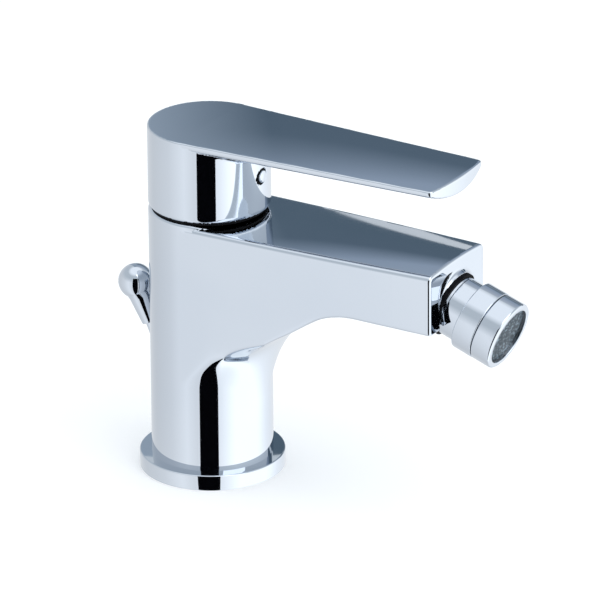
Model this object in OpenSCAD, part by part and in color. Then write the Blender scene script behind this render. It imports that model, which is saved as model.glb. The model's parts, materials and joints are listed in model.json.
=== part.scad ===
// Single lever bidet mixer with a swivel nozzle and a lift rod for the pop-up waste.
// Millimetres. Origin at the centre of the foot on the deck, X along the spout, Z up.

/* [Foot] */
// radius of the foot ring
flange_r = 28.15; // [27:0.05:32]
// height of the foot ring
flange_h = 6.2; // [5:0.1:8]
// chamfer on the edges of the foot ring
flange_chamfer = 0.6; // [0.2:0.1:1]
// radius of the body's spigot inside the foot ring
spigot_r = 16; // [15.5:0.1:17]
// lift of the spigot's lower face above the deck
spigot_lift = 1; // [0.5:0.1:2]
// inner radius of the deck seal
seal_in_r = 19; // [18:0.1:21]
// width of the deck seal
seal_w = 6; // [4:0.1:6.5]
// thickness of the deck seal
seal_t = 1.6; // [1:0.1:2.4]

/* [Column] */
// radius of the column
column_r = 23.5; // [23:0.1:25]
// height of the column's rim
column_top = 107.2; // [107:0.1:108]
// rounding of the column's rim
rim_round = 1.4; // [1:0.1:2]
// where the spout's flat top cuts into the rim
rim_cut_x = 9.5; // [6:0.1:14]

/* [Spout] */
// distance of the front face from the column's axis
spout_reach = 108.7; // [100:0.1:120]
// half width of the spout at the column's axis
spout_root_w = 23.2; // [22:0.1:23.3]
// half width of the front face
spout_tip_w = 20.2; // [17:0.1:21]
// height of the spout's top at the column's axis
spout_top = 105.9; // [103:0.1:106]
// rise of the spout's top towards the front, in degrees
spout_rise = 0.29; // [0:0.01:1]
// chamfer on the upper edges of the spout's sides
spout_edge = 1.5; // [0.5:0.1:2]
// height of the front face
spout_front_h = 24; // [20:0.1:26]
// fall of the underside towards the front, in degrees
spout_fall = 1.44; // [0:0.01:3]
// radius of the lower sweep from column to spout
sweep_r = 43.2; // [36:0.1:46]
// slope of the straight part of the sweep, in degrees
sweep_slope = 29.7; // [24:0.1:34]
// length of the straight part of the sweep
sweep_run = 19.1; // [12:0.1:22]
// radius of the upper sweep under the spout
crown_r = 33.5; // [26:0.1:40]
// half width of the water way in the spout
core_w = 14; // [8:0.1:14.5]
// height of the water way in the spout
core_h = 11.5; // [8:0.1:12]
// floor of the spout under the water way
core_floor = 3.6; // [3:0.1:5]

/* [Water ways] */
// distance of the inlets from the column's axis
inlet_y = 9.5; // [9:0.1:10.5]
// wall radius of the threaded inlets
inlet_r = 4.5; // [4:0.05:5]
// depth of the threaded inlets
inlet_depth = 13; // [10:0.5:18]
// radius of the ways above the inlets
way_r = 3.5; // [3:0.1:3.8]
// distance of the fixing stud's hole from the column's axis
stud_x = 11; // [10:0.1:11.5]
// wall radius of the fixing stud's hole
stud_r = 3.4; // [3:0.05:3.8]
// depth of the fixing stud's hole
stud_depth = 18; // [12:0.5:22]
// drop of the cross way below the chamber's floor
cross_drop = 6.5; // [6:0.1:8]
// distance of the riser from the column's axis
riser_x = 22.8; // [22:0.1:23.5]

/* [Cartridge] */
// height of the lever's tilt axis
pivot_z = 94; // [93:0.1:95]
// radius of the cartridge
cartridge_r = 17.3; // [17:0.1:17.6]
// wall of the cartridge housing
housing_wall = 1.7; // [1.4:0.1:1.9]
// thickness of the cartridge base
base_t = 5; // [4:0.1:6]
// radius of the fixed disc
fixed_disc_r = 14.6; // [14:0.1:15]
// radius of the moving disc
moving_disc_r = 10.4; // [10:0.1:10.6]
// thickness of each ceramic disc
disc_t = 3.5; // [3:0.1:4]
// water film between the ceramic discs
disc_film = 0.05; // [0.03:0.01:0.1]
// rest offset of the moving disc
disc_offset = 2.4; // [2:0.1:2.6]
// distance of the ports from the cartridge's axis
port_x = 9; // [8.5:0.1:9.3]
// radius of the ports
port_r = 2.8; // [2.4:0.1:3]
// thickness of the port seals
port_seal_t = 1.2; // [0.8:0.1:1.6]
// width of the port seals
port_seal_w = 1.2; // [0.8:0.1:1.4]
// distance from tilt axis to the centre of the stem's tip
stem_arm = 14; // [13.5:0.1:14.5]
// radius of the stem's tip
tip_r = 2.2; // [2:0.05:2.4]
// side of the square stem
stem_w = 8; // [7.5:0.1:8.2]
// half thickness of the stem's lower leg
leg_w = 3; // [2.5:0.1:3.2]
// radius of the stem's pivot eye
eye_r = 5.2; // [4.8:0.1:5.5]
// radius of the pivot pin
pin_r = 2; // [1.6:0.05:2.2]
// half length of the pivot pin
pin_l = 12; // [10:0.1:12.4]
// radius of the turret's shoulder
shoulder_r = 15.1; // [14.8:0.1:15.2]
// radius of the turret's collar
collar_r = 13.2; // [13:0.1:13.4]
// half length of the turret's slot
slot_l = 7.8; // [7.6:0.1:8.2]
// half width of the carrier across its guides
carrier_w = 9.5; // [9:0.1:9.6]
// floor of the carrier under the stem's tip
carrier_floor = 0.9; // [0.8:0.05:1.2]
// wall of the housing's cap
cap_t = 1.6; // [1.4:0.1:2]
// radius of the retaining nut's thread
nut_r = 19.4; // [19:0.1:19.6]
// inner radius of the retaining nut
nut_in_r = 14.6; // [14.2:0.1:15.5]
// depth of the retaining nut's top below the rim
nut_sink = 2.5; // [2:0.1:3]
// width of the key slots in the retaining nut
nut_slot_w = 3; // [2:0.1:4]

/* [Dome cover] */
// gap between the dome and the hollow of the handle
dome_gap = 0.5; // [0.4:0.05:0.8]
// wall of the dome
dome_wall = 1.5; // [1:0.1:1.8]
// radius of the dome's opening
dome_mouth_r = 15.4; // [14.5:0.1:16]
// depth of the dome's spigot in the column
dome_spigot_h = 1.6; // [1:0.1:2]

/* [Handle] */
// height of the flat top of the lever above the crown of the handle's hollow
hub_rise = 19.76; // [18:0.01:23]
// reach of the lever's tip corners from the hub's axis
lever_reach = 108.5; // [100:0.1:115]
// half width of the lever at the hub's axis
lever_root_w = 23.44; // [22.5:0.01:23.47]
// half width of the lever's tip
lever_tip_w = 19.14; // [17:0.01:21]
// bulge of the lever's tip
lever_bulge = 2; // [1:0.1:4]
// thickness of the lever on its middle line at the hub's axis
lever_t = 8.8; // [7:0.1:10]
// slope of the lever's underside towards the tip, in degrees
lever_slope = 1.3; // [0:0.1:2]
// radius of the lever's rounded underside
belly_r = 46.8; // [42:0.1:60]
// gap between the column's rim and the hub
hub_gap = 0.9; // [0.8:0.1:1.6]
// rounding of the hub's lower edge
hub_round = 2; // [1:0.1:2.4]
// clearance of the handle's hollow over the column's rim
hollow_gap = 0.35; // [0.3:0.01:0.6]
// wall of the hub
hub_wall = 3.5; // [3:0.1:5]
// roof of the hub above its pocket
hub_roof = 6.5; // [5:0.1:8]
// radius of the boss around the stem
boss_r = 9; // [8:0.1:10]
// half width of the rib that carries the grub screw
rib_w = 5; // [4.5:0.1:6]
// height of the grub screw above the crown of the handle's hollow
grub_rise = 2.4; // [2.2:0.05:4]
// radius of the grub screw
grub_r = 2; // [1.5:0.1:2.5]
// length of the grub screw
grub_l = 10; // [6:0.1:12]
// radius of the index plug
plug_r = 3.2; // [2.8:0.1:3.6]
// depth of the index plug
plug_t = 2.6; // [2:0.1:4]
// depth of the stem in the hub above the hollow
stem_grip = 12.5; // [11:0.1:13]

/* [Nozzle joint] */
// pitch of the nozzle below the horizontal, in degrees
nozzle_pitch = 19.3; // [10:0.1:25]
// drop of the nozzle seat's centre below the front top edge
seat_drop = 17.55; // [16:0.05:18.5]
// setback of the nozzle seat's centre from the front face
seat_back = 2.42; // [1.5:0.01:4]
// radius of the boss behind the nozzle seat
seat_boss_r = 13.2; // [12.5:0.1:13.8]
// length of the boss behind the nozzle seat
seat_boss_l = 20; // [14:0.1:24]
// radius of the nozzle gasket
gasket_r = 12.9; // [12.4:0.1:13.4]
// thickness of the nozzle gasket
gasket_t = 1.4; // [1:0.1:2]
// radius of the stub's thread in the boss
stub_r = 9.9; // [9:0.1:10]
// length of the stub's thread in the boss
stub_l = 8; // [6:0.1:10]
// radius of the ring that holds the ball
socket_r = 11.9; // [11.5:0.1:12]
// length of the ring from the gasket to the ball's centre
socket_l = 7.75; // [7.5:0.05:9]
// thickness of the stub's flange
stub_flange_t = 1.2; // [1:0.1:1.6]
// radius of the ball
ball_r = 8.6; // [8.3:0.1:8.7]
// wall of the liner around the ball
liner_wall = 1.15; // [1:0.05:1.2]
// reach of the socket's mouth beyond the ball's centre
mouth_x = 5.5; // [5.2:0.1:5.7]
// thickness of the socket's lip
lip_t = 1.3; // [1:0.1:1.5]
// radius of the ball's neck
neck_r = 4.6; // [4.2:0.1:4.7]
// radius of the water way in the ball
ball_way_r = 3.2; // [2.5:0.1:3.4]

/* [Nozzle head] */
// radius of the head's rear ring
shroud_r = 13.7; // [13.6:0.1:14.5]
// length of the head's rear ring
shroud_l = 8.7; // [8.5:0.1:9.5]
// gap between the ring that holds the ball and the head
head_gap = 0.7; // [0.65:0.05:0.8]
// wall of the head behind the aerator
web_t = 2.3; // [1.8:0.1:3]
// radius of the ball's thread in the head
head_thread_r = 7; // [6:0.1:7.5]
// radius of the aerator housing's thread
aerator_thread_r = 12; // [11.8:0.1:12.4]
// width of the groove between the rings of the head
groove_w = 0.3; // [0.2:0.05:0.5]
// radius of the head's front ring
front_r = 13.6; // [13.2:0.1:14.2]
// length of the head's front ring
front_l = 8.25; // [8:0.05:10]
// rounding at the outlet, along and across the axis
front_round = 1.1; // [0.6:0.1:1.4]
// radius of the outlet
outlet_r = 11.2; // [10.5:0.1:11.6]
// thickness of the outlet's lip
outlet_lip = 0.7; // [0.5:0.1:1]
// thickness of the outlet screen
screen_t = 0.5; // [0.4:0.1:0.8]
// pitch of the wires of the outlet screen
screen_pitch = 2.2; // [1.8:0.1:3]
// thickness of the wires of the outlet screen
wire_w = 0.6; // [0.4:0.1:0.8]
// thickness of the flow straightener
insert_t = 2.6; // [2:0.1:2.8]
// radius of the holes in the flow straightener
insert_hole_r = 1.1; // [0.8:0.1:1.3]

/* [Lift rod] */
// lean of the rod to the rear, in degrees
rod_lean = 23.2; // [21:0.1:25]
// distance of the knob's centre behind the column's axis
knob_back = 33.8; // [33.5:0.1:37]
// height of the knob's centre
knob_z = 68.4; // [66:0.1:70]
// radius of the knob's ball
knob_r = 6.9; // [6:0.1:7.2]
// radius of the knob's sleeve at its lower end
sleeve_r = 3.5; // [3.2:0.1:3.6]
// radius of the knob's neck below the ball
knob_neck_r = 4.6; // [4:0.1:5.2]
// distance of the sleeve's end from the knob's centre
sleeve_l = 16.8; // [15:0.1:17]
// radius of the rod
rod_r = 2.2; // [2:0.05:2.4]
// length of the rod below the knob's centre
rod_l = 69; // [66:0.5:70]
// wall of the rod's bush
bush_wall = 1.35; // [1:0.05:1.5]
// distance of the bush's lower end from the knob's centre
bush_end = 42; // [40:0.1:43]
// thickness of the rod seal
rod_seal_t = 2; // [1.5:0.1:2.5]

/* [Fits] */
// radial clearance of turning and sliding fits
run_gap = 0.05; // [0.02:0.01:0.08]
// radial clearance of parts that are fixed together
seat_gap = 0.05; // [0.02:0.01:0.1]
// clearance between parts that move past each other
move_gap = 0.35; // [0.3:0.05:0.5]
// clearance of the stem's tip in the carrier's slot
tip_gap = 0.15; // [0.1:0.01:0.2]

/* [Hidden] */
$fn = 96;
side_fn = 720;
cut = 1;
big = 400;
blend_lap = 0.03;
sweep_inset = 0.15;
foot_z = flange_h;

// spout, in plan and in profile
side_d = spout_root_w - spout_tip_w;
side_r = (spout_reach * spout_reach + side_d * side_d) / (2 * side_d);
front_top = spout_top + spout_reach * tan(spout_rise);
front_low = front_top - spout_front_h;
sweep_rad = column_r - sweep_inset;
line_from_r = sweep_rad + sweep_r * (1 - sin(sweep_slope));
line_to_r = line_from_r + sweep_run * cos(sweep_slope);
crown_end_r = line_to_r + crown_r * (sin(sweep_slope) + sin(spout_fall));
crown_end_z = front_low + (spout_reach - crown_end_r) * tan(spout_fall);
line_to_z = crown_end_z - crown_r * (cos(spout_fall) - cos(sweep_slope));
line_from_z = line_to_z - sweep_run * sin(sweep_slope);
sweep_z = line_from_z - sweep_r * cos(sweep_slope);
lap_r = blend_lap * sin(sweep_slope);
lap_z = blend_lap * cos(sweep_slope);
far_r = spout_reach + spout_root_w;
far_z = crown_end_z - (far_r - crown_end_r) * tan(spout_fall);
core_z = crown_end_z + core_floor;

// cartridge stack, from the tilt axis down and up
tip_z = pivot_z - stem_arm;
carrier_z = tip_z - tip_r - move_gap - carrier_floor;
carrier_top = tip_z + tip_r;
moving_z = carrier_z - disc_t;
fixed_z = moving_z - disc_film - disc_t;
chamber_z = fixed_z - base_t;
chamber_r = cartridge_r + seat_gap;
housing_in_r = cartridge_r - housing_wall;
turret_z = carrier_top + 2 * carrier_floor;
shoulder_top = pivot_z + pin_r + cut;
cap_z = shoulder_top + move_gap;
cap_top = cap_z + cap_t;
turret_top = cap_top + 2 * cap_t;
nut_top = column_top - nut_sink;
nut_hole_r = nut_r + seat_gap;
ledge_r = shoulder_r - cut;
ledge_t = 2 * carrier_floor;
guide_t = 2 * cut;
guide_l = 6;
slot_w = stem_w / 2 + move_gap;
cross_z = chamber_z - cross_drop;

// dome and handle share the tilt centre
rim_rise = column_top - rim_round - pivot_z;
rim_in = column_r - rim_round;
hollow_r = sqrt(rim_in * rim_in + rim_rise * rim_rise) + rim_round + hollow_gap;
dome_r = hollow_r - dome_gap;
dome_base_r = rim_in - seat_gap;
hub_low = column_top + hub_gap;
boss_z = pivot_z + hollow_r;
lever_top = boss_z + hub_rise;
stem_top = boss_z + stem_grip;
belly_z = lever_top - lever_t + belly_r;
tip_arc_r = (lever_tip_w * lever_tip_w + lever_bulge * lever_bulge) / (2 * lever_bulge);
grub_z = boss_z + grub_rise;

// nozzle axis, measured from the ball's centre towards the outlet
seat_x = -socket_l - gasket_t;
ball_pos = [
    spout_reach - seat_back - seat_x * cos(nozzle_pitch),
    0,
    front_top - seat_drop + seat_x * sin(nozzle_pitch)
];
liner_r = ball_r + run_gap + liner_wall;
cup_r = liner_r + run_gap;
stub_neck_r = (cup_r + socket_r) / 2;
stub_end = -cut / 2;
stub_flange_x = -socket_l + stub_flange_t;
lip_x = mouth_x - lip_t;
cup_way_r = ball_way_r + 2;
dish_r = socket_r + head_gap;
web_x = shroud_l + seat_gap;
web_end = web_x + web_t;
front_x = shroud_l + groove_w;
outlet_x = front_x + front_l;
lip_back = outlet_x - outlet_lip;
screen_x = lip_back - screen_t;
insert_x = screen_x - insert_t;
insert_r = (outlet_r + aerator_thread_r) / 2;
ring_x = web_end + seat_gap;

// rod, measured down from the knob's centre
bush_r = rod_r + run_gap + bush_wall;
bush_hole_r = bush_r + seat_gap;
rod_way_r = rod_r + 2 * move_gap;
rod_socket = knob_r;
way_l = (knob_z + flange_h) / cos(rod_lean);

chrome = [0.80, 0.83, 0.87];
brass = [0.72, 0.60, 0.36];
black = [0.07, 0.07, 0.08];
white = [0.90, 0.90, 0.88];
grey = [0.45, 0.46, 0.48];
steel = [0.62, 0.63, 0.65];

// a ring standing on height z
module ring(out_r, in_r, z, h) {
    translate([0, 0, z])
        difference() {
            cylinder(r = out_r, h = h);
            translate([0, 0, -cut])
                cylinder(r = in_r, h = h + 2 * cut);
        }
}

// a cylinder between two heights
module rod_between(r, from, to) {
    translate([0, 0, from])
        cylinder(r = r, h = to - from);
}

// frame of the nozzle, Z towards the outlet
module on_nozzle() {
    translate(ball_pos)
        rotate([0, 90 + nozzle_pitch, 0])
            children();
}

// frame of the rod, Z towards the top
module on_rod() {
    translate([-knob_back, 0, knob_z])
        rotate([0, -rod_lean, 0])
            children();
}

// the slab between two heights in a node's own frame
module slab(from, to) {
    translate([-big / 2, -big / 2, from])
        cube([big, big, to - from]);
}

// all that lies above the spout's top, from a given place forwards
module above_spout(from) {
    translate([0, 0, spout_top])
        rotate([0, -spout_rise, 0])
            translate([from, -big / 2, 0])
                cube(big);
}

// column with its rounded rim, which the spout's top cuts away in front
module column() {
    difference() {
        union() {
            rod_between(column_r, foot_z, column_top - rim_round);
            rod_between(rim_in, column_top - rim_round - cut, column_top);
            translate([0, 0, column_top - rim_round])
                rotate_extrude()
                    translate([rim_in, 0])
                        intersection() {
                            circle(r = rim_round);
                            translate([-cut, 0])
                                square([rim_round + 2 * cut, rim_round + cut]);
                        }
        }
        translate([0, 0, -blend_lap])
            above_spout(rim_cut_x);
    }
}

// plan of the spout between its bowed sides
module spout_plan() {
    intersection() {
        translate([0, spout_root_w - side_r])
            circle(r = side_r, $fn = side_fn);
        translate([0, side_r - spout_root_w])
            circle(r = side_r, $fn = side_fn);
        translate([0, -column_r])
            square([spout_reach, 2 * column_r]);
    }
}

// space under the sweep from column to spout
module under_sweep() {
    rotate_extrude() {
        translate([sweep_rad + sweep_r, sweep_z])
            circle(r = sweep_r);
        translate([line_to_r + crown_r * sin(sweep_slope), line_to_z - crown_r * cos(sweep_slope)])
            circle(r = crown_r);
        polygon([
            [sweep_rad, 0],
            [sweep_rad, sweep_z],
            [line_from_r + lap_r, line_from_z - lap_z],
            [line_to_r + lap_r, line_to_z - lap_z],
            [crown_end_r, crown_end_z - blend_lap],
            [far_r, far_z - blend_lap],
            [far_r, 0]
        ]);
    }
}

// cone that chamfers the upper edge of one bowed side
module edge_cone(side) {
    translate([0, side * (spout_root_w - side_r), spout_top - spout_edge - column_top])
        cylinder(r1 = side_r + column_top, r2 = side_r - column_top, h = 2 * column_top, $fn = side_fn);
}

module spout() {
    difference() {
        intersection() {
            translate([0, 0, sweep_z - column_r / 2])
                linear_extrude(height = column_top)
                    spout_plan();
            edge_cone(1);
            edge_cone(-1);
        }
        under_sweep();
        above_spout(-big / 2);
    }
}

// boss behind the nozzle's seat, kept under the spout's top
module seat_boss() {
    intersection() {
        on_nozzle()
            rod_between(seat_boss_r, seat_x - seat_boss_l, seat_x);
        translate([0, 0, front_top - rim_round - big])
            slab(0, big);
    }
}

module body() {
    color(chrome)
        difference() {
            union() {
                column();
                spout();
                seat_boss();
                rod_between(spigot_r, spigot_lift, foot_z + cut);
            }
            rod_between(chamber_r, chamber_z, cap_top);
            rod_between(nut_hole_r, cap_top - cut, column_top + cut);
            for (s = [-1, 1])
                translate([0, s * inlet_y, 0]) {
                    rod_between(inlet_r, spigot_lift - cut, spigot_lift + inlet_depth);
                    rod_between(way_r, spigot_lift, chamber_z + cut);
                }
            translate([stud_x, 0, 0])
                rod_between(stud_r, spigot_lift - cut, spigot_lift + stud_depth);
            translate([port_x, 0, 0])
                rod_between(way_r, cross_z, chamber_z + cut);
            translate([port_x - way_r, 0, cross_z])
                rotate([0, 90, 0])
                    cylinder(r = way_r, h = riser_x - port_x + way_r);
            translate([riser_x, 0, 0])
                rod_between(way_r, cross_z - way_r, core_z + core_h / 2);
            translate([riser_x - way_r, -core_w, core_z])
                cube([ball_pos.x - riser_x + 2 * seat_x, 2 * core_w, core_h]);
            on_nozzle() {
                rod_between(seat_boss_r + 2 * seat_gap, seat_x, seat_x + seat_boss_l);
                rod_between(stub_r + seat_gap, seat_x - stub_l - cut, seat_x + cut);
                rod_between(cup_way_r, seat_x - seat_boss_l, seat_x);
            }
            on_rod() {
                rod_between(bush_hole_r, -bush_end - rod_seal_t, -rod_r);
                rod_between(rod_way_r, -way_l, -bush_end);
            }
        }
}

module base_flange() {
    color(chrome)
        difference() {
            rotate_extrude()
                polygon([
                    [spigot_r + seat_gap, 0],
                    [flange_r - flange_chamfer / 2, 0],
                    [flange_r, flange_chamfer / 2],
                    [flange_r, flange_h - flange_chamfer],
                    [flange_r - flange_chamfer, flange_h],
                    [spigot_r + seat_gap, foot_z]
                ]);
            ring(seal_in_r + seal_w + seat_gap, seal_in_r - seat_gap, -cut, seal_t + cut);
        }
}

module base_seal() {
    color(black)
        ring(seal_in_r + seal_w, seal_in_r, 0, seal_t);
}

// the three ports of base and fixed disc, at a given radius
module ports(r, from, to) {
    for (p = [[port_x, 0], [0, port_x], [0, -port_x]])
        translate([p.x, p.y, 0])
            rod_between(r, from, to);
}

module cartridge_base() {
    color(grey)
        difference() {
            rod_between(cartridge_r, chamber_z, fixed_z);
            ports(port_r, chamber_z - cut, fixed_z + cut);
            ports(port_r + port_seal_w + seat_gap, chamber_z - cut, chamber_z + port_seal_t);
        }
}

module port_seals() {
    color(black)
        difference() {
            ports(port_r + port_seal_w, chamber_z, chamber_z + port_seal_t);
            ports(port_r, chamber_z - cut, chamber_z + port_seal_t + cut);
        }
}

module fixed_disc() {
    color(white)
        difference() {
            rod_between(fixed_disc_r, fixed_z, fixed_z + disc_t);
            ports(port_r, fixed_z - cut, fixed_z + disc_t + cut);
        }
}

module cartridge_housing() {
    color(grey) {
        difference() {
            rod_between(cartridge_r, fixed_z, cap_top);
            rod_between(housing_in_r, fixed_z - cut, cap_z);
            rod_between(collar_r + run_gap, cap_z - cut, cap_top + cut);
        }
        ring(housing_in_r + cut / 2, ledge_r, turret_z - run_gap - ledge_t, ledge_t);
        ring(housing_in_r + cut / 2, fixed_disc_r + seat_gap, fixed_z, disc_t);
    }
}

module turret() {
    color(white)
        difference() {
            union() {
                rod_between(shoulder_r, turret_z, shoulder_top);
                rod_between(collar_r, shoulder_top - cut, turret_top);
                for (s = [0, 180])
                    rotate([0, 0, s])
                        translate([-guide_l, carrier_w + move_gap, carrier_z + 2 * carrier_floor])
                            cube([2 * guide_l, guide_t, turret_z - carrier_z]);
            }
            translate([-slot_l, -slot_w, turret_z - cut])
                cube([2 * slot_l, 2 * slot_w, turret_top - turret_z + 2 * cut]);
            translate([0, 0, pivot_z])
                rotate([90, 0, 0])
                    translate([0, 0, -pin_l])
                        cylinder(r = pin_r, h = 2 * pin_l);
        }
}

module pivot_pin() {
    color(steel)
        translate([0, 0, pivot_z])
            rotate([90, 0, 0])
                translate([0, 0, -pin_l])
                    cylinder(r = pin_r, h = 2 * pin_l);
}

module stem() {
    color(brass)
        difference() {
            union() {
                translate([-leg_w, -stem_w / 2, turret_z])
                    cube([2 * leg_w, stem_w, pivot_z - turret_z]);
                translate([-tip_r / 2, -stem_w / 2, tip_z])
                    cube([tip_r, stem_w, stem_arm]);
                translate([0, stem_w / 2, tip_z])
                    rotate([90, 0, 0])
                        cylinder(r = tip_r, h = stem_w);
                translate([0, stem_w / 2, pivot_z])
                    rotate([90, 0, 0])
                        cylinder(r = eye_r, h = stem_w);
                translate([-stem_w / 2, -stem_w / 2, pivot_z])
                    cube([stem_w, stem_w, stem_top - pivot_z]);
            }
            translate([0, stem_w, pivot_z])
                rotate([90, 0, 0])
                    cylinder(r = pin_r + run_gap, h = 2 * stem_w);
        }
}

module disc_carrier() {
    color(grey)
        difference() {
            intersection() {
                translate([-disc_offset, 0, 0])
                    rod_between(moving_disc_r, carrier_z, carrier_top);
                translate([-big / 2, -carrier_w, carrier_z])
                    cube([big, 2 * carrier_w, stem_arm]);
            }
            translate([-tip_r - tip_gap, -slot_w, carrier_z + carrier_floor])
                cube([2 * (tip_r + tip_gap), 2 * slot_w, stem_arm]);
        }
}

module moving_disc() {
    color(white)
        translate([-disc_offset, 0, 0])
            difference() {
                rod_between(moving_disc_r, moving_z, carrier_z);
                translate([port_r / 2, 0, moving_z - cut])
                    cylinder(r = 2 * port_r, h = cut + disc_t / 2);
            }
}

module retaining_nut() {
    color(brass)
        difference() {
            ring(nut_r, nut_in_r, cap_top, nut_top - cap_top);
            for (s = [0, 90])
                rotate([0, 0, s])
                    translate([-big / 2, -nut_slot_w / 2, nut_top - nut_slot_w])
                        cube([big, nut_slot_w, big]);
        }
}

module dome_cover() {
    color(black)
        difference() {
            union() {
                intersection() {
                    translate([0, 0, pivot_z])
                        sphere(r = dome_r);
                    rod_between(dome_base_r, column_top, pivot_z + dome_r);
                }
                rod_between(nut_r, column_top - dome_spigot_h, column_top + cut / 2);
            }
            translate([0, 0, pivot_z])
                sphere(r = dome_r - dome_wall);
            rod_between(dome_mouth_r, pivot_z, pivot_z + 2 * dome_r);
            rod_between(nut_r - dome_wall, column_top - 2 * dome_spigot_h, column_top + cut);
        }
}

// plan of the lever with its bowed tip
module lever_plan() {
    intersection() {
        polygon([
            [0, -lever_root_w],
            [lever_reach, -lever_tip_w],
            [lever_reach + lever_bulge, -lever_tip_w],
            [lever_reach + lever_bulge, lever_tip_w],
            [lever_reach, lever_tip_w],
            [0, lever_root_w]
        ]);
        translate([lever_reach + lever_bulge - tip_arc_r, 0])
            circle(r = tip_arc_r, $fn = side_fn);
    }
}

module lever() {
    intersection() {
        translate([0, 0, lever_top - lever_t - belly_r])
            linear_extrude(height = lever_t + belly_r)
                lever_plan();
        translate([0, 0, belly_z])
            rotate([0, 90 - lever_slope, 0])
                translate([0, 0, -belly_r])
                    cylinder(r = belly_r, h = 2 * belly_r + lever_reach, $fn = side_fn);
    }
}

// hub with its rounded lower edge
module hub() {
    rod_between(column_r, hub_low + hub_round, lever_top);
    rod_between(column_r - hub_round, hub_low, lever_top - cut);
    translate([0, 0, hub_low + hub_round])
        rotate_extrude()
            translate([column_r - hub_round, 0])
                intersection() {
                    circle(r = hub_round);
                    translate([-cut, -hub_round - cut])
                        square([hub_round + 2 * cut, hub_round + cut]);
                }
}

// pocket that keeps the hub light
module hub_pocket() {
    difference() {
        rod_between(column_r - hub_wall, pivot_z, lever_top - hub_roof);
        rod_between(boss_r, pivot_z, lever_top);
        translate([0, -rib_w, pivot_z])
            cube([column_r, 2 * rib_w, lever_top - pivot_z]);
    }
}

module handle() {
    color(chrome)
        difference() {
            union() {
                hub();
                lever();
            }
            hub_pocket();
            translate([0, 0, pivot_z])
                sphere(r = hollow_r);
            translate([-stem_w / 2 - seat_gap, -stem_w / 2 - seat_gap, pivot_z])
                cube([stem_w + 2 * seat_gap, stem_w + 2 * seat_gap, stem_top - pivot_z + seat_gap]);
            translate([0, 0, grub_z])
                rotate([0, 90, 0]) {
                    cylinder(r = grub_r + seat_gap, h = column_r);
                    rod_between(plug_r + seat_gap, column_r - plug_t, column_r + cut);
                }
        }
}

module grub_screw() {
    color(steel)
        translate([0, 0, grub_z])
            rotate([0, 90, 0])
                difference() {
                    rod_between(grub_r, stem_w / 2, stem_w / 2 + grub_l);
                    translate([0, 0, stem_w / 2 + grub_l - grub_r])
                        cylinder(r = grub_r / 2, h = 2 * grub_r, $fn = 6);
                }
}

module index_plug() {
    color(chrome)
        translate([0, 0, grub_z])
            rotate([0, 90, 0])
                rod_between(plug_r, column_r - plug_t, column_r);
}

module nozzle_gasket() {
    color(black)
        on_nozzle()
            ring(gasket_r, stub_r + seat_gap, seat_x, gasket_t);
}

module nozzle_stub() {
    color(chrome)
        on_nozzle()
            difference() {
                union() {
                    rod_between(stub_r, seat_x - stub_l, stub_flange_x);
                    rod_between(socket_r, -socket_l, stub_flange_x);
                    rod_between(stub_neck_r, -socket_l, stub_end);
                }
                sphere(r = cup_r);
                rod_between(cup_way_r, -big / 2, 0);
            }
}

module socket_collar() {
    color(chrome)
        on_nozzle()
            difference() {
                union() {
                    rod_between(socket_r, stub_flange_x + seat_gap, 0);
                    intersection() {
                        sphere(r = socket_r);
                        slab(-cut, mouth_x);
                    }
                }
                rod_between(stub_neck_r + seat_gap, -socket_l, stub_end + seat_gap);
                intersection() {
                    sphere(r = cup_r);
                    slab(-socket_l, lip_x);
                }
                sphere(r = ball_r + run_gap);
            }
}

module ball_liner() {
    color(grey)
        on_nozzle()
            difference() {
                intersection() {
                    sphere(r = liner_r);
                    slab(-ball_r * cos(45), liner_r * sin(10));
                }
                sphere(r = ball_r + run_gap);
            }
}

module swivel_ball() {
    color(chrome)
        on_nozzle()
            difference() {
                union() {
                    sphere(r = ball_r);
                    rod_between(neck_r, 0, web_x);
                    rod_between(head_thread_r, web_x, web_end);
                }
                rod_between(ball_way_r, -2 * ball_r, web_end + cut);
            }
}

module nozzle_shroud() {
    color(chrome)
        on_nozzle()
            difference() {
                union() {
                    rod_between(shroud_r, 0, shroud_l);
                    rod_between(aerator_thread_r, shroud_l - cut, web_end);
                }
                intersection() {
                    sphere(r = dish_r);
                    slab(-big / 2, web_x);
                }
                translate([0, 0, -cut / 2])
                    cylinder(r1 = dish_r + cut, r2 = dish_r - cut / 2, h = cut);
                rod_between(head_thread_r + seat_gap, 0, web_end + cut);
            }
}

module aerator_housing() {
    color(chrome)
        on_nozzle()
            difference() {
                union() {
                    rod_between(front_r, front_x, outlet_x - front_round);
                    rod_between(front_r - front_round, outlet_x - front_round - cut, outlet_x);
                    translate([0, 0, outlet_x - front_round])
                        rotate_extrude()
                            translate([front_r - front_round, 0])
                                intersection() {
                                    circle(r = front_round);
                                    translate([-cut, 0])
                                        square([front_round + 2 * cut, front_round + cut]);
                                }
                }
                rod_between(aerator_thread_r + seat_gap, front_x - cut, ring_x);
                rod_between(insert_r + seat_gap, front_x, lip_back);
                rod_between(outlet_r, front_x, outlet_x + cut);
            }
}

module aerator_gasket() {
    color(black)
        on_nozzle()
            ring(insert_r, head_thread_r, ring_x, insert_x - ring_x);
}

module aerator_insert() {
    color(grey)
        on_nozzle()
            difference() {
                rod_between(insert_r, insert_x, screen_x);
                rod_between(insert_hole_r, insert_x - cut, screen_x + cut);
                for (k = [1, 2, 3])
                    for (i = [1 : 6 * k])
                        rotate([0, 0, 60 * i / k])
                            translate([k * outlet_r / 4, 0, 0])
                                rod_between(insert_hole_r, insert_x - cut, screen_x + cut);
            }
}

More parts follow.
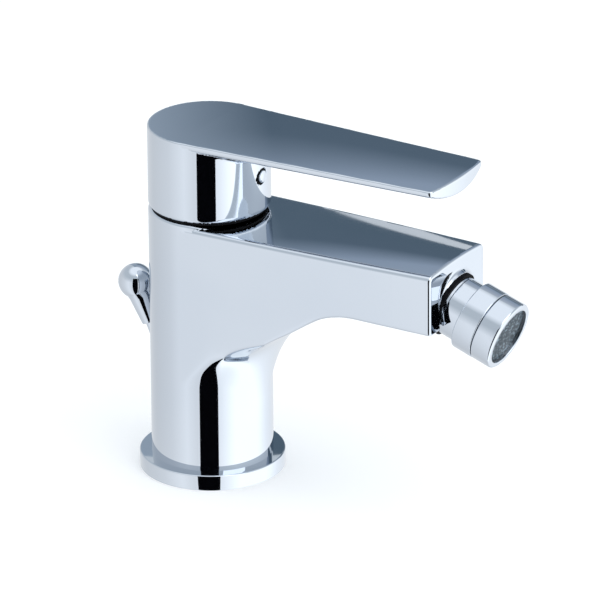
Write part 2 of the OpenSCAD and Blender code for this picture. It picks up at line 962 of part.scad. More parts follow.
module aerator_screen() {
    wires = floor(insert_r / screen_pitch);
    color(steel)
        on_nozzle()
            translate([0, 0, screen_x])
                linear_extrude(height = screen_t) {
                    difference() {
                        circle(r = insert_r);
                        circle(r = outlet_r - wire_w);
                    }
                    intersection() {
                        circle(r = outlet_r);
                        union() {
                            for (i = [-wires : wires]) {
                                translate([i * screen_pitch, 0])
                                    square([wire_w, 2 * insert_r], center = true);
                                translate([0, i * screen_pitch])
                                    square([2 * insert_r, wire_w], center = true);
                            }
                        }
                    }
                }
}

module lift_knob() {
    color(chrome)
        on_rod()
            difference() {
                union() {
                    sphere(r = knob_r);
                    translate([0, 0, -sleeve_l])
                        cylinder(r1 = sleeve_r, r2 = knob_neck_r, h = sleeve_l - knob_r / 2);
                }
                rod_between(rod_r + seat_gap, -sleeve_l - cut, -rod_socket);
            }
}

module lift_rod() {
    color(chrome)
        on_rod()
            rod_between(rod_r, -rod_l, -rod_socket);
}

module rod_bush() {
    color(grey)
        intersection() {
            on_rod()
                difference() {
                    rod_between(bush_r, -bush_end, -rod_r);
                    rod_between(rod_r + run_gap, -bush_end - cut, cut);
                }
            rod_between(column_r - seat_gap, foot_z, chamber_z);
        }
}

module rod_seal() {
    color(black)
        on_rod()
            ring(bush_r, rod_r + run_gap, -bush_end - rod_seal_t, rod_seal_t);
}

body();
base_flange();
base_seal();
cartridge_base();
port_seals();
cartridge_housing();
fixed_disc();
retaining_nut();
dome_cover();
nozzle_gasket();
nozzle_stub();
socket_collar();
rod_bush();
rod_seal();
turret();
pivot_pin();
stem();
handle();
grub_screw();
index_plug();
disc_carrier();
moving_disc();
ball_liner();
swivel_ball();
nozzle_shroud();
aerator_housing();
aerator_gasket();
aerator_insert();
aerator_screen();
lift_knob();
lift_rod();
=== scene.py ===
import json
import math

import bpy
import numpy as np
from mathutils import Matrix, Vector


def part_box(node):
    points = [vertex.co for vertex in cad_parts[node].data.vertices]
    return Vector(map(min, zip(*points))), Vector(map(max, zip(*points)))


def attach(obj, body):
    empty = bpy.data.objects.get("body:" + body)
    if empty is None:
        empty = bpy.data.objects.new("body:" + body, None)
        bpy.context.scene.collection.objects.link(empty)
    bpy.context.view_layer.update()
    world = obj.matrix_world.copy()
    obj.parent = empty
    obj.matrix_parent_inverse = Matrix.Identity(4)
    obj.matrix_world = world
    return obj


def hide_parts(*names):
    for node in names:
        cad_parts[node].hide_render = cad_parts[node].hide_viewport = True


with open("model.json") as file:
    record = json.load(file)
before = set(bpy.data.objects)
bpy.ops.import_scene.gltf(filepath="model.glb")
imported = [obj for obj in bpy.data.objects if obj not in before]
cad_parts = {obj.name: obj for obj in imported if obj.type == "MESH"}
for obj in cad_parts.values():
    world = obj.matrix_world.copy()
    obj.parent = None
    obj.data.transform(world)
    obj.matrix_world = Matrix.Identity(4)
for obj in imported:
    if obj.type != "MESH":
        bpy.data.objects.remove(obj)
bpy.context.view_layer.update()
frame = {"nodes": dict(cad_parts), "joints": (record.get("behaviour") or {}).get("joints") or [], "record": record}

MM = 0.001


def box_mm(node):
    """Lowest and highest corner of a CAD node, in millimetres."""
    low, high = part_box(node)
    return np.array(low) / MM, np.array(high) / MM


# Sizes read from the frame, in millimetres
flange_high = box_mm("base_flange")[1]
body_low, body_high = box_mm("body")
handle_low, handle_high = box_mm("handle")
knob_low, knob_high = box_mm("lift_knob")
joints = {j["name"]: j for j in frame["joints"]}

FLANGE_R = flange_high[0]
FOOT_Z = flange_high[2]
FOOT_LOW = body_low[2]
COLUMN_R = body_high[1]
COLUMN_TOP = body_high[2]
LEVER_TOP = handle_high[2]
LEVER_END = handle_high[0]
PIVOT_Z = joints["handle_lift"]["pos_m"][2] / MM
BALL = np.array(joints["nozzle_tilt"]["pos_m"]) / MM
SWING_AXIS = np.array(joints["nozzle_swing"]["axis"])
NOZZLE_AXIS = np.array([SWING_AXIS[2], 0.0, -SWING_AXIS[0]])
ROD_AXIS = np.array(joints["lift_rod_pull"]["axis"])

# Knob of the lift rod: its ball is the knob's far end along the rod
KNOB_R = 6.9
KNOB = np.array([knob_low[0] + KNOB_R, 0.0, knob_high[2] - KNOB_R])

# Column and spout
RIM_ROUND = 1.4
FOOT_LAP = 1.2
RIM_CUT_X, RIM_CUT_SPAN = 4.0, 12.0
SPOUT_REACH = 108.7
SPOUT_TIP_W = 20.2
SPOUT_TOP = 105.9
SPOUT_RISE = math.tan(math.radians(0.29))
SPOUT_CROWN = 1.0
FRONT_H = 24.0
SWEEP_R = 43.2
SWEEP_SLOPE = math.radians(29.7)
SWEEP_RUN = 19.1
CROWN_R = 33.5
SPOUT_FALL = math.radians(1.44)
EDGE_TOP = 2.2
EDGE_FRONT = 1.0
EDGE_LOW = 1.5

# How the spout grows out of the column, and where its underside is squarer
GROW_R = 85.0
GROW_FROM_X, GROW_SPAN_X = 14.0, 22.0
GROW_SOFT, GROW_CRISP = 3.5, 12.0
GROW_LIFT = 9.0
GROW_SINK, GROW_SINK_Z = 0.3, 20.0
GROW_TURN, GROW_TURN_SPAN = math.radians(5), math.radians(45)
SQUARE_SHARE = 0.65
SQUARE_Z, SQUARE_SPAN = 68.0, 8.0
FAR = 300.0
NEAR = 0.05
TINY = 0.001
LEAST_Y = 0.01

# Bores and seats in the body
OVERLAP = 1.0
SPIGOT_R = 16.0
CHAMBER_R = 17.35
CHAMBER_Z = 64.5
NUT_HOLE_R = 19.45
NUT_Z = 98.0
INLET_Y = 9.5
INLET_R = 4.5
INLET_TOP = 14.0
STUD_X = 11.0
STUD_R = 3.4
STUD_TOP = 19.0
SEAT_X = -9.15
BOSS_R = 13.2
BOSS_L = 20.0
BOSS_CLEAR = 0.1
STUB_HOLE_R = 9.95
STUB_HOLE_L = 9.0
ROD_HOLE_R = 3.65
ROD_WAY_R = 2.9
BUSH_END = 44.0

# Handle
HUB_GAP = 0.6
HUB_LOW = COLUMN_TOP + HUB_GAP
HUB_ROUND = 2.0
LEVER_FILLET = 1.5
FILLET_X, FILLET_SPAN = 12.0, 6.0
LEVER_REACH = 108.5
LEVER_TIP_W = 19.14
LEVER_BULGE = LEVER_END - LEVER_REACH
LEVER_T = 8.8
LEVER_SLOPE = math.radians(1.3)
BELLY_R = 46.8
LEVER_CROWN = 0.5
EDGE_LEVER = 0.7
EDGE_BELLY = 1.0
TIP_CORNER = 1.6
HOLLOW_R = 26.8
STEM_W = 8.1
STEM_TOP = 133.4
PLUG_Z = 123.2
PLUG_R = 3.25
PLUG_T = 2.6


def round_max(a, b, r):
    """Both solids at once, with their shared edge rounded to radius r."""
    inner = np.minimum(np.maximum(a, b), -r)
    return inner + np.hypot(np.maximum(a + r, 0), np.maximum(b + r, 0))


def round_min(a, b, r):
    """Either solid, with a fillet of radius r where they meet."""
    outer = np.maximum(np.minimum(a, b), r)
    return outer - np.hypot(np.maximum(r - a, 0), np.maximum(r - b, 0))


def edge_max(a, b, cosine, r):
    """Both solids at once, with a rolled edge of radius r where their faces' normals meet at this cosine."""
    cosine = np.clip(cosine, 0, 0.999)
    u, v = a + r, b + r
    rolled = np.sqrt(np.maximum(u**2 + v**2 - 2 * u * v * cosine, 0) / (1 - cosine**2)) - r
    corner = (u > np.maximum(v, 0) * cosine) & (v > np.maximum(u, 0) * cosine)
    return np.where(corner, rolled, np.maximum(a, b))


def smooth(t):
    """A soft step from 0 to 1."""
    t = np.clip(t, 0, 1)
    return t**2 * (3 - 2 * t)


def hump(x, middle, span):
    """A smooth bump of height 1."""
    return np.exp(-(((x - middle) / span) ** 2))


def bore(radial, axial, radius, start, end):
    """A straight hole from start to end along its axis."""
    return np.maximum(np.maximum(radial - radius, start - axial), axial - end)


def along(x, y, z, origin, axis):
    """Distance along an axis in the XZ plane, and distance from it."""
    dx, dz = x - origin[0], z - origin[2]
    a = dx * axis[0] + dz * axis[2]
    across = dx * axis[2] - dz * axis[0]
    return a, np.hypot(across, y)


# Profile of the sweep under the spout, worked back from the front face
front_top = SPOUT_TOP + SPOUT_REACH * SPOUT_RISE
front_low = front_top - FRONT_H
slope_sin, slope_cos = math.sin(SWEEP_SLOPE), math.cos(SWEEP_SLOPE)
fall_sin, fall_cos = math.sin(SPOUT_FALL), math.cos(SPOUT_FALL)
line_r = COLUMN_R + SWEEP_R * (1 - slope_sin)
bend_r = line_r + SWEEP_RUN * slope_cos
flat_r = bend_r + CROWN_R * (slope_sin + fall_sin)
flat_z = front_low + (SPOUT_REACH - flat_r) * math.tan(SPOUT_FALL)
bend_z = flat_z - CROWN_R * (fall_cos - slope_cos)
line_z = bend_z - SWEEP_RUN * slope_sin
sweep_z = line_z - SWEEP_R * slope_cos
side_r = SPOUT_REACH**2 / (2 * (COLUMN_R - SPOUT_TIP_W))


def under_sweep(r, z):
    """Distance below the swept underside, which turns about the column's axis."""
    f = np.where(z < sweep_z, r - COLUMN_R, SWEEP_R - np.hypot(r - COLUMN_R - SWEEP_R, z - sweep_z))
    on_line = (r - line_r) * slope_cos + (z - line_z) * slope_sin > 0
    f = np.where(on_line, (r - line_r) * slope_sin - (z - line_z) * slope_cos, f)
    on_bend = (r - bend_r) * slope_cos + (z - bend_z) * slope_sin > 0
    bend = CROWN_R - np.hypot(r - bend_r - CROWN_R * slope_sin, z - bend_z + CROWN_R * slope_cos)
    f = np.where(on_bend, bend, f)
    on_flat = (r - flat_r) * fall_cos - (z - flat_z) * fall_sin > 0
    return np.where(on_flat, (flat_z - z) * fall_cos - (r - flat_r) * fall_sin, f)


def body_field(x, y, z):
    """Signed distance to the chromed body: column, swept spout, nozzle boss and bores."""
    r = np.hypot(x, y)
    flat = SPOUT_TOP + SPOUT_RISE * x
    # the rim runs down into the spout's flat top
    lowered = smooth((x - RIM_CUT_X) / RIM_CUT_SPAN)
    rim = COLUMN_TOP + (flat - COLUMN_TOP) * lowered
    column = np.maximum(round_max(r - COLUMN_R, z - rim, RIM_ROUND), FOOT_Z - FOOT_LAP - z)

    half_w = COLUMN_R - np.maximum(x, 0) ** 2 / (2 * side_r)
    side = (np.abs(y) - half_w) / np.sqrt(1 + (np.maximum(x, 0) / side_r) ** 2)
    crown = SPOUT_CROWN * (1 - (y / half_w) ** 2) * np.clip(x / SPOUT_REACH, 0, 1)
    top = z - flat - crown
    # round like the column at the foot of the sweep, squarer across the spout further up
    square = SQUARE_SHARE * hump(z, SQUARE_Z, SQUARE_SPAN)
    under, beside = (under_sweep(np.hypot(x, (np.abs(y) + d) * (1 - square)), z) for d in (0, NEAR))
    spout = edge_max(side, under, (beside - under) / NEAR, EDGE_LOW)
    # near the column the spout grows out of it softly, further out its lower edge is crisp
    lift = GROW_LIFT * smooth((np.arctan2(np.abs(y), x) - GROW_TURN) / GROW_TURN_SPAN)
    t = np.clip((z - sweep_z - lift) / (flat_z - sweep_z - lift), TINY, 1 - TINY)
    grown = np.minimum(GROW_R * ((1 - t**2) ** -0.5 - 1), FAR)
    reach = np.clip(half_w * r / np.maximum(np.abs(y), LEAST_Y) - COLUMN_R, TINY, FAR)
    power = GROW_SOFT + (GROW_CRISP - GROW_SOFT) * smooth((x - GROW_FROM_X) / GROW_SPAN_X)
    least = grown * reach / (grown**power + reach**power) ** (1 / power)
    sink = GROW_SINK * (1 - smooth((z - FOOT_Z) / GROW_SINK_Z))
    spout = np.maximum(spout, r - COLUMN_R - least + sink)
    spout = round_max(spout, top, EDGE_TOP)
    spout = round_max(spout, x - SPOUT_REACH, EDGE_FRONT)
    spout = np.maximum(np.maximum(spout, -x), FOOT_Z + RIM_ROUND - z)
    field = np.minimum(column, spout)

    a, rho = along(x, y, z, BALL, NOZZLE_AXIS)
    boss = np.maximum(bore(rho, a, BOSS_R, SEAT_X - BOSS_L, SEAT_X), z - front_top + RIM_ROUND)
    field = round_min(field, boss, EDGE_FRONT)
    field = np.maximum(field, -bore(rho, a, BOSS_R + BOSS_CLEAR, SEAT_X, SEAT_X + BOSS_L))
    field = np.minimum(field, bore(r, z, SPIGOT_R, FOOT_LOW, FOOT_Z + OVERLAP))

    for hole in (
        bore(r, z, CHAMBER_R, CHAMBER_Z, NUT_Z),
        bore(r, z, NUT_HOLE_R, NUT_Z - OVERLAP, COLUMN_TOP + OVERLAP),
        bore(np.hypot(x, np.abs(y) - INLET_Y), z, INLET_R, FOOT_LOW - OVERLAP, INLET_TOP),
        bore(np.hypot(x - STUD_X, y), z, STUD_R, FOOT_LOW - OVERLAP, STUD_TOP),
        bore(rho, a, STUB_HOLE_R, SEAT_X - STUB_HOLE_L, SEAT_X + OVERLAP),
    ):
        field = np.maximum(field, -hole)
    t, rod = along(x, y, z, KNOB, ROD_AXIS)
    field = np.maximum(field, -bore(rod, t, ROD_HOLE_R, -BUSH_END, 0))
    return np.maximum(field, -bore(rod, t, ROD_WAY_R, -2 * COLUMN_TOP, OVERLAP - BUSH_END))


def handle_field(x, y, z):
    """Signed distance to the handle: hub and flat lever with its rounded underside."""
    r = np.hypot(x, y)
    # straight sides that leave the hub as tangents and end at the tip's half width
    taper = math.asin((COLUMN_R - LEVER_TIP_W) / LEVER_REACH)
    line = np.abs(y) * math.cos(taper) + x * math.sin(taper) - COLUMN_R
    beyond = x * math.cos(taper) - np.abs(y) * math.sin(taper) > 0
    plan = np.where(beyond, line, r - COLUMN_R)
    tip_r = (LEVER_TIP_W**2 + LEVER_BULGE**2) / (2 * LEVER_BULGE)
    tip = np.hypot(x - LEVER_END + tip_r, y) - tip_r
    crown = LEVER_CROWN * (1 - (y / COLUMN_R) ** 2) * np.clip(x / LEVER_REACH, 0, 1)
    top = z - LEVER_TOP - crown + LEVER_CROWN * 0.5
    belly_z = LEVER_TOP - LEVER_T + BELLY_R
    drop = (z - belly_z) * math.cos(LEVER_SLOPE) - x * math.sin(LEVER_SLOPE)
    belly = np.hypot(y, np.minimum(drop, 0)) - BELLY_R

    lever = round_max(plan, tip, TIP_CORNER)
    lever = round_max(lever, belly, EDGE_BELLY)
    hub = round_max(r - COLUMN_R, HUB_LOW - z, HUB_ROUND)
    meet = np.clip((x - FILLET_X) / FILLET_SPAN, 0.01, 1) * LEVER_FILLET
    field = round_max(round_min(hub, lever, meet), top, EDGE_LEVER)

    field = np.maximum(field, HOLLOW_R - np.sqrt(x**2 + y**2 + (z - PIVOT_Z) ** 2))
    stem = np.maximum(np.maximum(np.abs(x), np.abs(y)) - STEM_W / 2, z - STEM_TOP)
    field = np.maximum(field, -stem)
    plug = bore(np.hypot(y, z - PLUG_Z), x, PLUG_R, COLUMN_R - PLUG_T, COLUMN_R + OVERLAP)
    return np.maximum(field, -plug)


def gradient(field, p, h=0.01):
    """Central differences of a field at points p."""
    g = np.empty_like(p)
    for k in range(3):
        d = np.zeros(3)
        d[k] = h
        g[:, k] = (field(*(p + d).T) - field(*(p - d).T)) / (2 * h)
    return g


SETTLE_ROUNDS = 5


def mesh_of_field(field, low, high, step):
    """Closed quad mesh where a field is zero, one vertex per cell, moved onto the surface."""
    axes = [np.arange(low[k] - 2 * step, high[k] + 3 * step, step) for k in range(3)]
    gy, gz = np.meshgrid(axes[1], axes[2], indexing="ij")
    values = np.stack([field(np.full_like(gy, x), gy, gz) for x in axes[0]])
    inside = values < 0
    shape = [n - 1 for n in values.shape]
    corners = [(i, j, k) for i in (0, 1) for j in (0, 1) for k in (0, 1)]
    count = np.zeros(shape, np.int8)
    for i, j, k in corners:
        count += inside[i : i + shape[0], j : j + shape[1], k : k + shape[2]]
    mixed = (count > 0) & (count < 8)
    cells = np.argwhere(mixed)
    index = np.full(shape, -1)
    index[mixed] = np.arange(len(cells))

    total, hits = np.zeros((len(cells), 3)), np.zeros(len(cells))
    for c in corners:
        for k in range(3):
            if c[k]:
                continue
            start = cells + np.array(c)
            end = start.copy()
            end[:, k] += 1
            fa, fb = values[tuple(start.T)], values[tuple(end.T)]
            cross = (fa < 0) != (fb < 0)
            point = start.astype(float)
            point[:, k] += np.where(cross, fa / np.where(cross, fa - fb, 1), 0)
            total[cross] += point[cross]
            hits += cross
    verts = np.array([a[0] for a in axes]) + step * total / hits[:, None]
    for _ in range(SETTLE_ROUNDS):
        f, g = field(*verts.T), gradient(field, verts)
        move = f / np.maximum((g * g).sum(1), 0.2)
        verts -= np.clip(move, -0.5 * step, 0.5 * step)[:, None] * g

    quads = []
    for k in range(3):
        i, j = (k + 1) % 3, (k + 2) % 3
        first = np.take(inside, range(shape[k]), axis=k)
        second = np.take(inside, range(1, shape[k] + 1), axis=k)
        for flip, where in ((False, first & ~second), (True, ~first & second)):
            at = np.argwhere(where)
            at = at[(at[:, i] > 0) & (at[:, j] > 0) & (at[:, i] < shape[i]) & (at[:, j] < shape[j])]
            ring = []
            for di, dj in ((-1, -1), (0, -1), (0, 0), (-1, 0)):
                cell = at.copy()
                cell[:, i] += di
                cell[:, j] += dj
                ring.append(index[tuple(cell.T)])
            quads.append(np.stack(ring[::-1] if flip else ring, axis=1))
    normals = gradient(field, verts)
    normals /= np.maximum(np.linalg.norm(normals, axis=1), 1e-9)[:, None]
    return verts, np.concatenate(quads), normals


def add_piece(name, verts, faces, material, body, nodes, normals=None):
    """A new piece in the row frame that rides a body and stands for CAD nodes."""
    mesh = bpy.data.meshes.new(name)
    mesh.from_pydata((np.asarray(verts) * MM).tolist(), [], np.asarray(faces).tolist())
    mesh.polygons.foreach_set("use_smooth", [True] * len(mesh.polygons))
    mesh.update()
    if normals is not None:
        mesh.normals_split_custom_set_from_vertices(normals.tolist())
    mesh.materials.append(material)
    piece = bpy.data.objects.new(name, mesh)
    bpy.context.scene.collection.objects.link(piece)
    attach(piece, body)
    if nodes:
        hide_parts(*nodes)
    return piece


def rounded(points, steps=7):
    """A closed profile of (radius, height, fillet) corners as a list of points with round corners."""
    out = []
    for i, (r, h, fillet) in enumerate(points):
        p = np.array([r, h], float)
        if fillet <= 0:
            out.append(p)
            continue
        a = np.array(points[i - 1][:2], float) - p
        b = np.array(points[(i + 1) % len(points)][:2], float) - p
        a_len, b_len = np.linalg.norm(a), np.linalg.norm(b)
        a, b = a / a_len, b / b_len
        half = math.acos(max(-1.0, min(1.0, float(a @ b)))) / 2
        reach = min(fillet / math.tan(half), 0.49 * a_len, 0.49 * b_len)
        radius = reach * math.tan(half)
        middle = (a + b) / np.linalg.norm(a + b)
        centre = p + middle * radius / math.sin(half)
        start, end = p + a * reach - centre, p + b * reach - centre
        sweep = math.pi - 2 * half
        for s in range(steps + 1):
            t = s / steps
            arc = (math.sin((1 - t) * sweep) * start + math.sin(t * sweep) * end) / math.sin(sweep)
            out.append(centre + arc)
    return np.array(out)


def arc(radius, start, end, count):
    """Profile points on a circle about the origin, from one angle to another in radians."""
    return [(radius * math.cos(t), radius * math.sin(t), 0) for t in np.linspace(start, end, count)]


def axis_matrix(origin, axis):
    """Frame in the XZ plane with its Z along an axis, and its Y the row's Y."""
    z = np.asarray(axis, float)
    y = np.array([0.0, 1.0, 0.0])
    return np.asarray(origin, float), np.stack([np.cross(y, z), y, z], axis=1)


def lathe(name, profile, origin, axis, material, body, nodes, turns=144, sharp=35):
    """A turned piece from a closed profile of (radius, height) points about an axis."""
    start, basis = axis_matrix(origin, axis)
    profile = np.asarray(profile, float)
    ahead = np.roll(profile, -1, axis=0)
    if (profile[:, 0] * ahead[:, 1] - ahead[:, 0] * profile[:, 1]).sum() < 0:
        profile = profile[::-1]
    angle = np.arange(turns) * 2 * math.pi / turns
    ring = np.stack([np.cos(angle), np.sin(angle)], axis=1)
    local = np.concatenate(
        [np.column_stack([r * ring, np.full(turns, h)]) for r, h in profile]
    )
    n = len(profile)
    rows, cols = np.meshgrid(np.arange(n), np.arange(turns), indexing="ij")
    after, beside = (rows + 1) % n, (cols + 1) % turns
    faces = np.stack(
        [rows * turns + cols, rows * turns + beside, after * turns + beside, after * turns + cols], axis=-1
    ).reshape(-1, 4)
    piece = add_piece(name, start + local @ basis.T, faces, material, body, nodes)
    piece.data.validate()
    piece.data.set_sharp_from_angle(angle=math.radians(sharp))
    return piece


# Materials
def new_material(name, color, metallic=0.0, roughness=0.5):
    """A principled material and its node tree."""
    made = bpy.data.materials.new(name)
    made.use_nodes = True
    shader = made.node_tree.nodes["Principled BSDF"]
    shader.inputs["Base Color"].default_value = (*color, 1)
    shader.inputs["Metallic"].default_value = metallic
    shader.inputs["Roughness"].default_value = roughness
    return made, made.node_tree, shader


def varied(tree, target, low, high, scale, detail=3.0):
    """Drives a number on the shader with soft noise in the row frame."""
    coords = tree.nodes.new("ShaderNodeTexCoord")
    noise = tree.nodes.new("ShaderNodeTexNoise")
    noise.inputs["Scale"].default_value = scale
    noise.inputs["Detail"].default_value = detail
    spread = tree.nodes.new("ShaderNodeMapRange")
    spread.inputs["To Min"].default_value = low
    spread.inputs["To Max"].default_value = high
    tree.links.new(coords.outputs["Object"], noise.inputs["Vector"])
    tree.links.new(noise.outputs["Fac"], spread.inputs["Value"])
    tree.links.new(spread.outputs["Result"], target)


def bumped(tree, shader, height, strength, distance):
    """Adds a fine bump from a height output."""
    bump = tree.nodes.new("ShaderNodeBump")
    bump.inputs["Strength"].default_value = strength
    bump.inputs["Distance"].default_value = distance
    tree.links.new(height, bump.inputs["Height"])
    tree.links.new(bump.outputs["Normal"], shader.inputs["Normal"])


def tinted(tree, shader, color_a, color_b, scale):
    """Blends two close colours with soft noise."""
    coords = tree.nodes.new("ShaderNodeTexCoord")
    noise = tree.nodes.new("ShaderNodeTexNoise")
    noise.inputs["Scale"].default_value = scale
    ramp = tree.nodes.new("ShaderNodeValToRGB")
    ramp.color_ramp.elements[0].position = 0.35
    ramp.color_ramp.elements[0].color = (*color_a, 1)
    ramp.color_ramp.elements[1].position = 0.65
    ramp.color_ramp.elements[1].color = (*color_b, 1)
    tree.links.new(coords.outputs["Object"], noise.inputs["Vector"])
    tree.links.new(noise.outputs["Fac"], ramp.inputs["Fac"])
    tree.links.new(ramp.outputs["Color"], shader.inputs["Base Color"])
    return noise


def ramp_of(tree, source, stops):
    """A colour ramp on a number, from (position, colour) stops."""
    ramp = tree.nodes.new("ShaderNodeValToRGB")
    elements = ramp.color_ramp.elements
    while len(elements) < len(stops):
        elements.new(0.5)
    for element, (position, color) in zip(elements, stops):
        element.position = position
        element.color = (*color, 1)
    tree.links.new(source, ramp.inputs["Fac"])
    return ramp.outputs["Color"]


def chrome_material():
    """Polished chrome with faint changes of tone and polish."""
    made, tree, shader = new_material("chrome", (0.58, 0.62, 0.68), 1.0, 0.04)
    tinted(tree, shader, (0.57, 0.612, 0.672), (0.60, 0.64, 0.695), 18)
    varied(tree, shader.inputs["Roughness"], 0.025, 0.055, 140)
    return made


def brass_material():
    """Machined brass."""
    made, tree, shader = new_material("machined_brass", (0.62, 0.45, 0.18), 1.0, 0.28)
    noise = tinted(tree, shader, (0.58, 0.42, 0.17), (0.68, 0.50, 0.22), 220)
    varied(tree, shader.inputs["Roughness"], 0.2, 0.36, 400)
    bumped(tree, shader, noise.outputs["Fac"], 0.1, 0.0001)
    return made


def steel_material():
    """Plain steel."""
    made, tree, shader = new_material("steel", (0.42, 0.45, 0.49), 1.0, 0.3)
    noise = tinted(tree, shader, (0.36, 0.39, 0.43), (0.48, 0.51, 0.55), 900)
    varied(tree, shader.inputs["Roughness"], 0.22, 0.4, 700)
    bumped(tree, shader, noise.outputs["Fac"], 0.1, 0.00005)
    return made


def rubber_material():
    """Matt black rubber."""
    made, tree, shader = new_material("black_rubber", (0.004, 0.004, 0.005), 0.0, 0.6)
    shader.inputs["Specular IOR Level"].default_value = 0.04
    noise = tinted(tree, shader, (0.003, 0.003, 0.004), (0.007, 0.007, 0.008), 600)
    varied(tree, shader.inputs["Roughness"], 0.5, 0.72, 500)
    bumped(tree, shader, noise.outputs["Fac"], 0.2, 0.0001)
    return made


def plastic_material(name, dark, light, gloss=0.3):
    """Moulded plastic or lapped ceramic between two close colours."""
    made, tree, shader = new_material(name, dark, 0.0, 0.4)
    shader.inputs["Specular IOR Level"].default_value = gloss
    noise = tinted(tree, shader, dark, light, 300)
    varied(tree, shader.inputs["Roughness"], 0.34, 0.5, 350)
    bumped(tree, shader, noise.outputs["Fac"], 0.12, 0.0001)
    return made


def screen_material():
    """Fine steel weave: two crossed wave patterns drive colour and bump. Its colour is kept near black as painted
    shade of the recessed outlet, and bright noise specks on it are painted glints.
    """
    made, tree, shader = new_material("woven_screen_shade_and_glints", (0.05, 0.065, 0.08), 1.0, 0.4)
    coords = tree.nodes.new("ShaderNodeTexCoord")
    waves = []
    for direction in ("Y", "Z"):
        wave = tree.nodes.new("ShaderNodeTexWave")
        wave.bands_direction = direction
        wave.inputs["Scale"].default_value = 420
        wave.inputs["Distortion"].default_value = 0.6
        tree.links.new(coords.outputs["Object"], wave.inputs["Vector"])
        waves.append(wave.outputs["Fac"])
    weave = tree.nodes.new("ShaderNodeMath")
    weave.operation = "MAXIMUM"
    tree.links.new(waves[0], weave.inputs[0])
    tree.links.new(waves[1], weave.inputs[1])
    glint_specks = tree.nodes.new("ShaderNodeTexNoise")
    glint_specks.inputs["Scale"].default_value = 1100
    glint_specks.inputs["Detail"].default_value = 1.0
    tree.links.new(coords.outputs["Object"], glint_specks.inputs["Vector"])
    # painted glints: bright noise specks added to the weave's colour
    painted_glints = ramp_of(tree, glint_specks.outputs["Fac"], [(0.56, (0, 0, 0)), (0.66, (0.26, 0.33, 0.38))])
    # painted shade: wires and the gaps between them kept near black
    wires_and_painted_shade = ramp_of(tree, weave.outputs["Value"], [
        (0.35, (0.006, 0.01, 0.014)), (0.95, (0.036, 0.062, 0.088)),
    ])
    added = tree.nodes.new("ShaderNodeMix")
    added.data_type = "RGBA"
    added.blend_type = "ADD"
    added.inputs["Factor"].default_value = 1.0
    tree.links.new(wires_and_painted_shade, added.inputs["A"])
    tree.links.new(painted_glints, added.inputs["B"])
    tree.links.new(added.outputs["Result"], shader.inputs["Base Color"])
    varied(tree, shader.inputs["Roughness"], 0.3, 0.5, 500)
    bumped(tree, shader, weave.outputs["Value"], 0.5, 0.0002)
    return made


MATERIALS = {
    "chrome": chrome_material(),
    "brass": brass_material(),
    "steel": steel_material(),
    "rubber": rubber_material(),
    "ceramic": plastic_material("ceramic", (0.76, 0.76, 0.73), (0.82, 0.82, 0.80)),
    "grey_plastic": plastic_material("grey_plastic", (0.15, 0.155, 0.165), (0.19, 0.195, 0.205)),
    "white_plastic": plastic_material("white_plastic", (0.74, 0.74, 0.72), (0.80, 0.80, 0.78)),
    "black_plastic": plastic_material("black_plastic", (0.004, 0.004, 0.005), (0.008, 0.008, 0.009), 0.06),
}
for part in frame["record"]["subparts"]:
    node = frame["nodes"][part["node"]]
    node.data.materials.clear()
    node.data.materials.append(MATERIALS[part["material_slot"]])

chrome = MATERIALS["chrome"]

# Body and handle as smooth chromed forms
BODY_STEP = 0.8
HANDLE_STEP = 0.7
verts, quads, normals = mesh_of_field(body_field, body_low, body_high, BODY_STEP)
add_piece("body_chrome", verts, quads, chrome, "mixer", ["body"], normals)
verts, quads, normals = mesh_of_field(handle_field, handle_low, handle_high, HANDLE_STEP)
add_piece("handle_chrome", verts, quads, chrome, "lever", ["handle"], normals)

# Foot ring
FOOT_HOLE_R = SPIGOT_R + 0.05
lathe(
    "foot_ring",
    rounded([
        (FOOT_HOLE_R, 0.0, 0.0), (FLANGE_R, 0.0, 0.3), (FLANGE_R, FOOT_Z, 0.5), (FOOT_HOLE_R, FOOT_Z, 0.0),
    ]),
    (0, 0, 0), (0, 0, 1), chrome, "mixer", ["base_flange"],
)

# Nozzle rings, measured from the ball's centre towards the outlet
SOCKET_R, SOCKET_BACK = 11.9, -6.5
SOCKET_HOLE_R, SOCKET_HOLE_END = 10.9, -0.6
SOCKET_LIP_R, SOCKET_LIP_X = 6.7, 5.5
SHROUD_R, SHROUD_END = 13.7, 8.7
SHROUD_NECK_R, SHROUD_NECK_END = 12.0, 11.0
NECK_HOLE_R, NECK_HOLE_X = 7.05, 8.76
DISH_R = 12.6
FRONT_R, FRONT_X = 13.6, 9.0
FRONT_HOLE_R = 12.05
OUTLET_R, OUTLET_X = 11.2, 17.25
INSERT_R, INSERT_FROM, INSERT_TO = 11.65, 11.05, 16.55
lathe(
    "socket_ring",
    rounded([
        (SOCKET_HOLE_R, SOCKET_BACK, 0.0), (SOCKET_R, SOCKET_BACK, 0.35), (SOCKET_R, 0.0, 0.0),
        *arc(SOCKET_R, 0.08, 0.48, 9),
        (SOCKET_LIP_R, SOCKET_LIP_X, 0.2), (SOCKET_HOLE_R, SOCKET_HOLE_END, 0.0),
    ]),
    BALL, NOZZLE_AXIS, chrome, "mixer", ["socket_collar"],
)
lathe(
    "nozzle_rear_ring",
    rounded([
        (SHROUD_R, 0.0, 0.45), (SHROUD_R, SHROUD_END, 0.35), (SHROUD_NECK_R, SHROUD_END, 0.0),
        (SHROUD_NECK_R, SHROUD_NECK_END, 0.0), (NECK_HOLE_R, SHROUD_NECK_END, 0.0),
        (NECK_HOLE_R, NECK_HOLE_X, 0.0),
        *arc(DISH_R, 0.77, 0.04, 12),
    ]),
    BALL, NOZZLE_AXIS, chrome, "nozzle", ["nozzle_shroud"],
)
